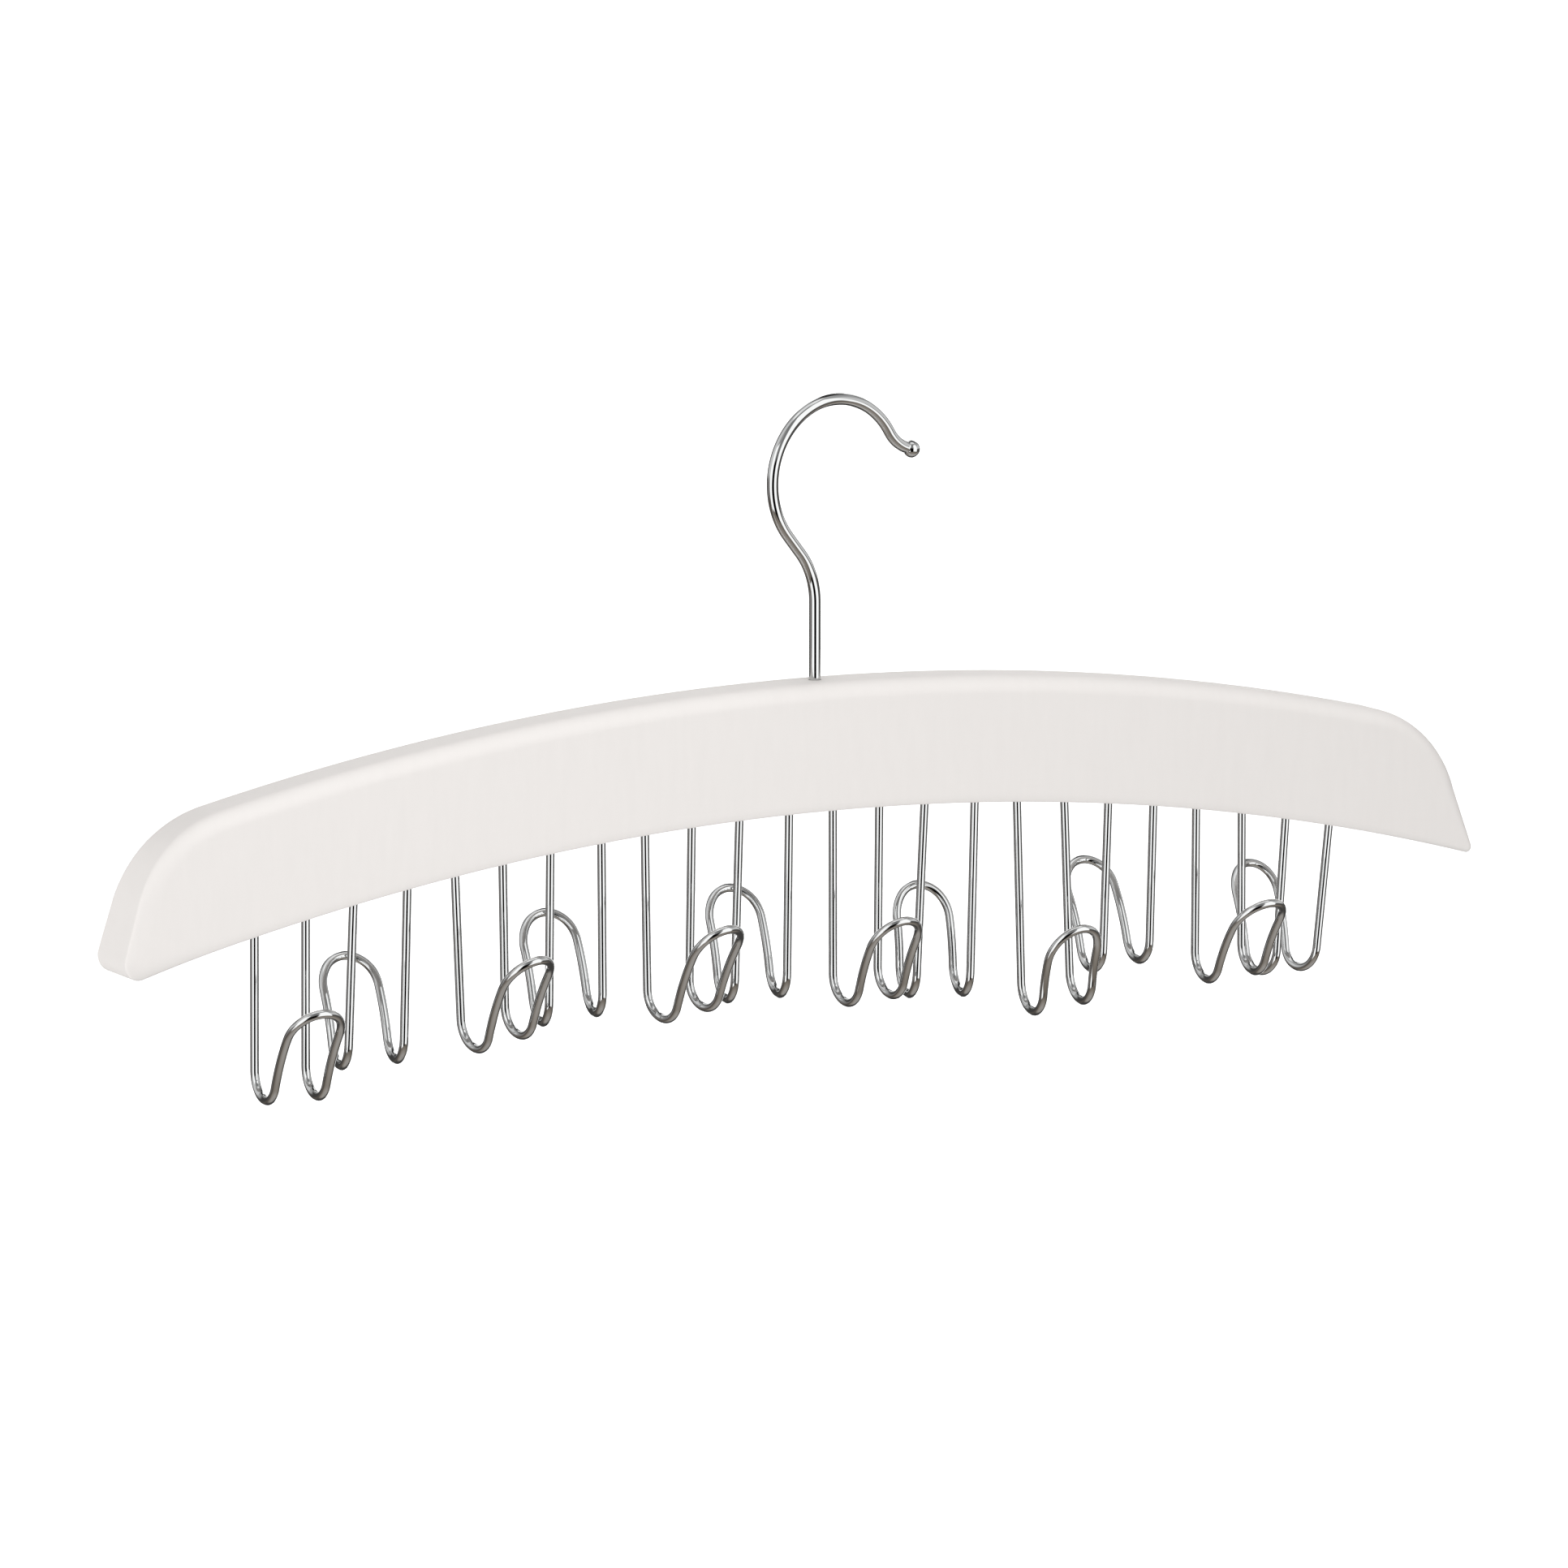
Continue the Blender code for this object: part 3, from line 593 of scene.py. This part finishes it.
class Setting(NamedTuple):
    """How one belt hook stands. All but the sign and the angles are shares of the usual sizes."""

    name: str
    outward: int      # -1 where it opens to the front, 1 to the rear
    along: float      # how far it stands to the right of its even place
    wide: float
    drop: float
    uneven: float     # how much lower the left leg reaches
    sway: float       # how far the foot sits to the right of the holes
    twist: float      # turn of the foot and lip, in degrees
    rise: float       # of the lip
    lean: float       # of the lip at the bottom bend, in degrees


BELT_HOOKS = [
    Setting("belt_hook_front_1", -1, -0.01, 0.99, 0.938, -0.02, -0.04, 0, 1.02, 21),
    Setting("belt_hook_rear_1", 1, 0.00, 1.05, 0.969, 0.03, -0.13, -6, 0.99, 18),
    Setting("belt_hook_front_2", -1, -0.01, 0.95, 0.960, 0.14, 0.07, 9, 1.00, 24),
    Setting("belt_hook_rear_2", 1, -0.01, 1.03, 0.997, 0.10, -0.02, -8, 1.00, 15),
    Setting("belt_hook_front_3", -1, -0.08, 0.96, 1.023, 0.09, -0.01, 11, 1.03, 23),
    Setting("belt_hook_rear_3", 1, -0.05, 1.03, 1.056, 0.03, -0.08, -8, 1.06, 12),
    Setting("belt_hook_front_4", -1, -0.08, 0.98, 1.077, 0.04, -0.01, 4, 0.96, 19),
    Setting("belt_hook_rear_4", 1, -0.04, 1.07, 1.128, -0.04, -0.13, -10, 1.11, 1),
    Setting("belt_hook_front_5", -1, -0.03, 1.02, 1.168, 0.12, 0.15, -4, 0.94, 10),
    Setting("belt_hook_rear_5", 1, 0.00, 1.00, 0.961, 0.09, -0.08, -3, 1.03, 20),
    Setting("belt_hook_front_6", -1, 0.01, 1.02, 0.942, 0.07, 0.02, -2, 0.93, 23),
    Setting("belt_hook_rear_6", 1, 0.06, 1.00, 0.886, -0.04, -0.24, 9, 1.07, 17),
]


def side_of_hook(setting):
    """One side before truing: distance from the middle, out from the leg and over the lowest wire."""
    first_lean = math.radians(setting.lean)
    half_width = setting.wide * BELT_HOOK_WIDTH / 2
    start_out = FOOT_RADIUS * (1.0 + math.cos(first_lean))
    start_up = FOOT_RADIUS * (1.0 - math.sin(first_lean))
    rise = setting.rise * LIP_HEIGHT - start_up
    lip_radius = rise / (math.sin(first_lean + LIP_FLARE) - math.sin(first_lean))
    straight = lip_radius * LIP_FLARE - LIP_ARCH
    side = []
    for i in range(FOOT_STEPS + 1):
        angle = (math.pi - first_lean) * i / FOOT_STEPS
        side.append((half_width, FOOT_RADIUS * (1.0 - math.cos(angle)),
                     FOOT_RADIUS * (1.0 - math.sin(angle))))
    lip = [(straight * i / LIP_STEPS, half_width) for i in range(1, LIP_STEPS + 1)]
    for i in range(1, ARCH_STEPS + 1):
        angle = math.pi / 2 * i / ARCH_STEPS
        lip.append((straight + LIP_ARCH * math.sin(angle), half_width * math.cos(angle)))
    for length, half in lip:
        lean = first_lean + length / lip_radius
        side.append((half, start_out + lip_radius * (math.cos(first_lean) - math.cos(lean)),
                     start_up + lip_radius * (math.sin(lean) - math.sin(first_lean))))
    return side


def as_set(setting, x, out, up):
    """Where a point of a hook lands once it is trued, from the point between its holes."""
    drop = setting.drop * BELT_HOOK_DROP
    down = drop - up
    share = min(max(down / drop, 0.0), 1.0)
    turn = math.radians(setting.twist) * share
    y = setting.outward * out
    return Vector((x * math.cos(turn) - y * math.sin(turn) + setting.sway * BELT_HOOK_WIDTH * share,
                   x * math.sin(turn) + y * math.cos(turn), setting.uneven * x - down))


spacing = (BAR_LENGTH - 2 * END_MARGIN) / (len(BELT_HOOKS) - 1)
for index, setting in enumerate(BELT_HOOKS):
    steps_right = index - (len(BELT_HOOKS) - 1) / 2
    x_middle = ROW_OFFSET + steps_right * spacing + setting.along * BELT_HOOK_WIDTH
    half_width = setting.wide * BELT_HOOK_WIDTH / 2
    drop = setting.drop * BELT_HOOK_DROP
    leg = [(half_width, 0.0, drop + (FOOT_RADIUS - drop) * i / LEG_STEPS) for i in range(LEG_STEPS)]
    side = leg + side_of_hook(setting)
    path = [Vector((-half_width, 0.0, LEG_DEPTH))]
    path += [as_set(setting, -x, out, up) for x, out, up in side]
    path += [as_set(setting, x, out, up) for x, out, up in side[-2::-1]]
    path.append(Vector((half_width, 0.0, LEG_DEPTH)))
    top = Vector((x_middle, 0.0, underside_z(x_middle)))
    belt_hook = draw_wire("chromed_" + setting.name, [top + point for point in path], BELT_WIRE)
    belt_hook.data.materials.append(chrome)
    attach(belt_hook, "bar")
    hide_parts(setting.name)
    for sign in (-1, 1):
        leg_x = x_middle + sign * half_width
        drill(bar, LEG_HOLE_RADIUS, leg_x, underside_z(leg_x) - 2 * DRILL_START, top.z + LEG_HOLE_DEPTH)
# with its holes in, the bar is shaded: its faces stay flat right up to the rounded edges
bpy.ops.object.select_all(action="DESELECT")
bar.select_set(True)
bpy.ops.object.shade_smooth_by_angle(angle=BAR_CREASE)
flats = bar.modifiers.new("flats", "WEIGHTED_NORMAL")
flats.keep_sharp = True
bpy.ops.object.modifier_apply(modifier=flats.name)


# Studio
# A floor and backdrop that the camera sees as plain white, a key light near the camera and weaker ones on
# the other sides. The chrome mirrors a room: grey walls, two tall soft boxes and the dark gap between them.

FLOOR_DROP = 0.9
FLOOR_SIDE = 80.0
FLOOR_WHITE = "F8F8F8"
ROOM_TONES = [
    # elevation in degrees, then the tone that the chrome shows of the room there
    (-90, "8A8682"), (-75, "989490"), (-60, "8D8781"), (-45, "7A736B"), (-33, "665F58"), (-22, "6C6762"),
    (-12, "868380"), (0, "888786"), (10, "949494"), (25, "A4A4A4"), (40, "9A9A9A"), (55, "969696"),
    (68, "BABABA"), (78, "D2D2D2"), (90, "E2E2E2"),
]
# the wall behind the hanger, and the cosines to the line of sight where it starts and where it is full
REAR_TONE = "3C3B3A"
REAR_START = 0.32
REAR_FULL = 0.62
ROOM_PATCHES = [
    # azimuth, elevation, half width, half height and softness in degrees, then the tone
    # the side walls above the hanger, pale
    (-107, 38, 30, 36, 3, "C4C4C4"),
    (75, 14, 32, 14, 3, "C0C0C0"),
    # the front wall and the edge of its ceiling, then a strip light high over each side
    (-25, 36, 32, 28, 5, "8C8C8C"),
    (-15, 60, 44, 8, 3, "747474"),
    (-100, 76, 42, 5, 2, "F8F8F8"),
    (76, 74, 32, 6, 2, "F4F4F4"),
    # the side walls below the hanger, darker
    (80, -13, 30, 12, 3, "4A4846"),
    (-114, -13, 32, 12, 3, "747170"),
    # the two soft boxes, and the gap between them: grey above the camera, black from there down
    (-62, 2, 19, 35, 2, "FFFFFF"),
    (26, 12, 24, 39, 2, "FFFFFF"),
    (-21, 25, 14, 30, 4, "747474"),
    (-21, -10, 19, 24, 2, "020202"),
    # dark corners behind, and two tall lights there
    (132, 54, 32, 12, 4, "2C2C2C"),
    (-128, -27, 38, 9, 5, "504B46"),
    (134, 4, 9, 34, 2, "F4F4F4"),
    (167, 4, 9, 34, 2, "F4F4F4"),
]
# chrome gives back this share of the light, so the room is that much brighter than its tones
CHROME_SHARE = 0.58
# the even light on the paint, and how far it leans to the front and to above
PAINT_LIGHT = 0.375
PAINT_LIGHT_LEAN = Vector((0.0, -0.225, 0.15))
WHITE = (1.0, 1.0, 1.0, 1.0)


def paint_light(name, azimuth, elevation, distance, side, radiance):
    """A square light that faces the hanger and that neither the camera nor a reflection shows."""
    direction = from_horizon(math.radians(azimuth), math.radians(elevation))
    bpy.ops.object.light_add(type="AREA", location=bar_crest + direction * distance)
    box = bpy.context.object
    box.name = name
    box.rotation_euler = direction.to_track_quat("Z", "Y").to_euler()
    box.data.shape = "SQUARE"
    box.data.size = side
    box.data.energy = radiance * math.pi * side**2
    box.visible_camera = False
    box.visible_glossy = False


paint_light("key_light", azimuth=-13.5, elevation=8.0, distance=0.95, side=0.70, radiance=2.85)
paint_light("left_wall_light", azimuth=-110.0, elevation=-20.0, distance=2.0, side=1.0, radiance=6.2)
paint_light("ceiling_light", azimuth=0.0, elevation=89.0, distance=2.0, side=1.0, radiance=2.6)
paint_light("rear_light", azimuth=155.0, elevation=12.0, distance=2.0, side=1.0, radiance=4.5)

bpy.ops.mesh.primitive_plane_add(size=FLOOR_SIDE, location=(0.0, 0.0, BAR_CREST - FLOOR_DROP))
floor = bpy.context.object
floor.name = "studio_floor"
floor.visible_glossy = False
floor.visible_diffuse = False
floor.visible_shadow = False
floor_paint, _, _ = new_finish("white studio floor", {
    "Base Color": linear(FLOOR_WHITE), "Roughness": 0.9, "Emission Color": WHITE, "Emission Strength": 1.0})
floor.data.materials.append(floor_paint)

world = bpy.data.worlds.new("studio")
bpy.context.scene.world = world
world.use_nodes = True
room = world.node_tree
room.nodes.clear()
direction = add_node(room, "ShaderNodeTexCoord").outputs["Generated"]
across, depth, height = add_node(room, "ShaderNodeSeparateXYZ", links={"Vector": direction}).outputs
forward = add_node(room, "ShaderNodeMath", {"operation": "MULTIPLY"}, {1: -1.0},
                   {0: depth}).outputs["Value"]
azimuth = add_node(room, "ShaderNodeMath", {"operation": "ARCTAN2"},
                   links={0: across, 1: forward}).outputs["Value"]
elevation = add_node(room, "ShaderNodeMath", {"operation": "ARCSINE"}, links={0: height}).outputs["Value"]
upward = add_node(room, "ShaderNodeMapRange", values={"From Min": -math.pi / 2, "From Max": math.pi / 2},
                  links={"Value": elevation}).outputs["Result"]
tones = add_node(room, "ShaderNodeValToRGB", links={"Fac": upward})
for _ in ROOM_TONES[2:]:
    tones.color_ramp.elements.new(0.5)
for stop, (angle, tone) in zip(tones.color_ramp.elements, ROOM_TONES):
    stop.position = angle / 180.0 + 0.5
    stop.color = linear(tone)
away = add_node(room, "ShaderNodeVectorMath", {"operation": "DOT_PRODUCT"}, {1: -towards_camera},
                {0: direction})
rear = add_node(room, "ShaderNodeMapRange", {"interpolation_type": "SMOOTHSTEP"},
                {"From Min": REAR_START, "From Max": REAR_FULL}, {"Value": away.outputs["Value"]})
walls = add_node(room, "ShaderNodeMix", {"data_type": "RGBA"},
                 links={"Factor": rear.outputs["Result"], "A": tones.outputs["Color"]})
walls.inputs["B"].default_value = linear(REAR_TONE)
colour = walls.outputs["Result"]
for middle_azimuth, middle_elevation, half_width, half_height, softness, tone in ROOM_PATCHES:
    shares = []
    for angle, middle, half in ((azimuth, middle_azimuth, half_width),
                                (elevation, middle_elevation, half_height)):
        offset = add_node(room, "ShaderNodeMath", {"operation": "SUBTRACT"}, {1: math.radians(middle)},
                          {0: angle})
        distance = add_node(room, "ShaderNodeMath", {"operation": "ABSOLUTE"},
                            links={0: offset.outputs["Value"]})
        edges = {"From Min": math.radians(half + softness), "From Max": math.radians(half - softness)}
        share = add_node(room, "ShaderNodeMapRange", {"interpolation_type": "SMOOTHSTEP"}, edges,
                         {"Value": distance.outputs["Value"]})
        shares.append(share.outputs["Result"])
    both = add_node(room, "ShaderNodeMath", {"operation": "MULTIPLY"}, links={0: shares[0], 1: shares[1]})
    patch = add_node(room, "ShaderNodeMix", {"data_type": "RGBA"},
                     links={"Factor": both.outputs["Value"], "A": colour})
    patch.inputs["B"].default_value = linear(tone)
    colour = patch.outputs["Result"]
mirrored = add_node(room, "ShaderNodeBackground", values={"Strength": 1.0 / CHROME_SHARE},
                    links={"Color": colour})
backdrop = add_node(room, "ShaderNodeBackground", values={"Color": WHITE})
lean = add_node(room, "ShaderNodeVectorMath", {"operation": "DOT_PRODUCT"}, {1: PAINT_LIGHT_LEAN},
                {0: direction})
evenness = add_node(room, "ShaderNodeMath", {"operation": "MULTIPLY_ADD"}, {1: PAINT_LIGHT, 2: PAINT_LIGHT},
                    {0: lean.outputs["Value"]})
scattered = add_node(room, "ShaderNodeBackground", values={"Color": WHITE},
                     links={"Strength": evenness.outputs["Value"]})
rays = add_node(room, "ShaderNodeLightPath").outputs
lighting = add_node(room, "ShaderNodeMixShader", links={
    "Fac": rays["Is Diffuse Ray"], 1: mirrored.outputs["Background"], 2: scattered.outputs["Background"]})
choice = add_node(room, "ShaderNodeMixShader", links={
    "Fac": rays["Is Camera Ray"], 1: lighting.outputs["Shader"], 2: backdrop.outputs["Background"]})
add_node(room, "ShaderNodeOutputWorld", links={"Surface": choice.outputs["Shader"]})
bpy.context.scene.view_settings.view_transform = "Standard"
